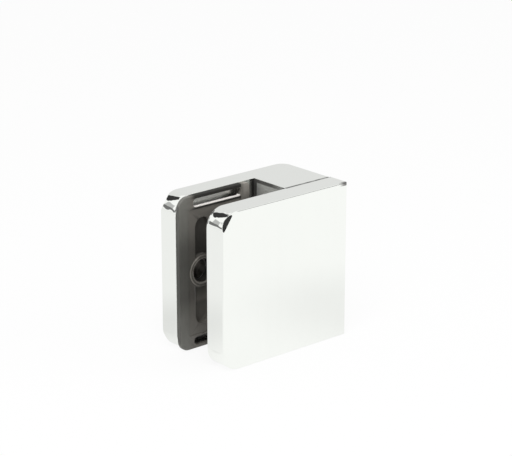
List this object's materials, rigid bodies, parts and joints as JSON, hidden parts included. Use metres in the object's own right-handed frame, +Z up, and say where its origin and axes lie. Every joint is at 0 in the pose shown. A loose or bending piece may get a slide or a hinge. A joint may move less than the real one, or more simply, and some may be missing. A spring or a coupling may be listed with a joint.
{
  "type": "square glass clamp with flat mounting face",
  "caption": "Square two-jaw clamp that grips the edge of a glass panel and bolts flat against a square post or tube; mirror-polished metal with grooved rubber gaskets.",
  "frame": {"origin": "on the flat mounting face, where the axis of the fixing bolt leaves it, at mid height and on the slot's middle plane", "axes": "+X out of the flat mounting face into the post, so the slot opens towards -X; +Y from the cover plate towards the rear jaw; +Z up"},
  "size_m": [0.045, 0.0266, 0.045],
  "materials": {
    "polished_metal": "mirror polished",
    "gasket_rubber": "moulded, semi-matt",
    "screw_steel": "plain turned"
  },
  "bodies": {
    "clamp_body": {"rear_jaw": "polished_metal", "rear_gasket": "gasket_rubber"},
    "cover": {"front_jaw": "polished_metal", "front_gasket": "gasket_rubber"},
    "upper_screw": {"clamp_screw_upper": "screw_steel"},
    "lower_screw": {"clamp_screw_lower": "screw_steel"}
  },
  "joints": [
    {"name": "cover_slide", "type": "slide", "parent": "clamp_body", "child": "cover", "axis": [0, -1, 0], "range_m": [0, 0.004]},
    {"name": "upper_screw_turn", "type": "hinge", "parent": "clamp_body", "child": "upper_screw", "pos_m": [-0.0084, 0, 0.014], "axis": [0, 1, 0], "range_deg": [0, 1800]},
    {"name": "lower_screw_turn", "type": "hinge", "parent": "clamp_body", "child": "lower_screw", "pos_m": [-0.0084, 0, -0.014], "axis": [0, 1, 0], "range_deg": [0, 1800]}
  ],
  "couplings": [
    {"joint": "upper_screw_turn", "follows": "cover_slide", "rad_per_m": 7854},
    {"joint": "lower_screw_turn", "follows": "cover_slide", "rad_per_m": 7854}
  ]
}
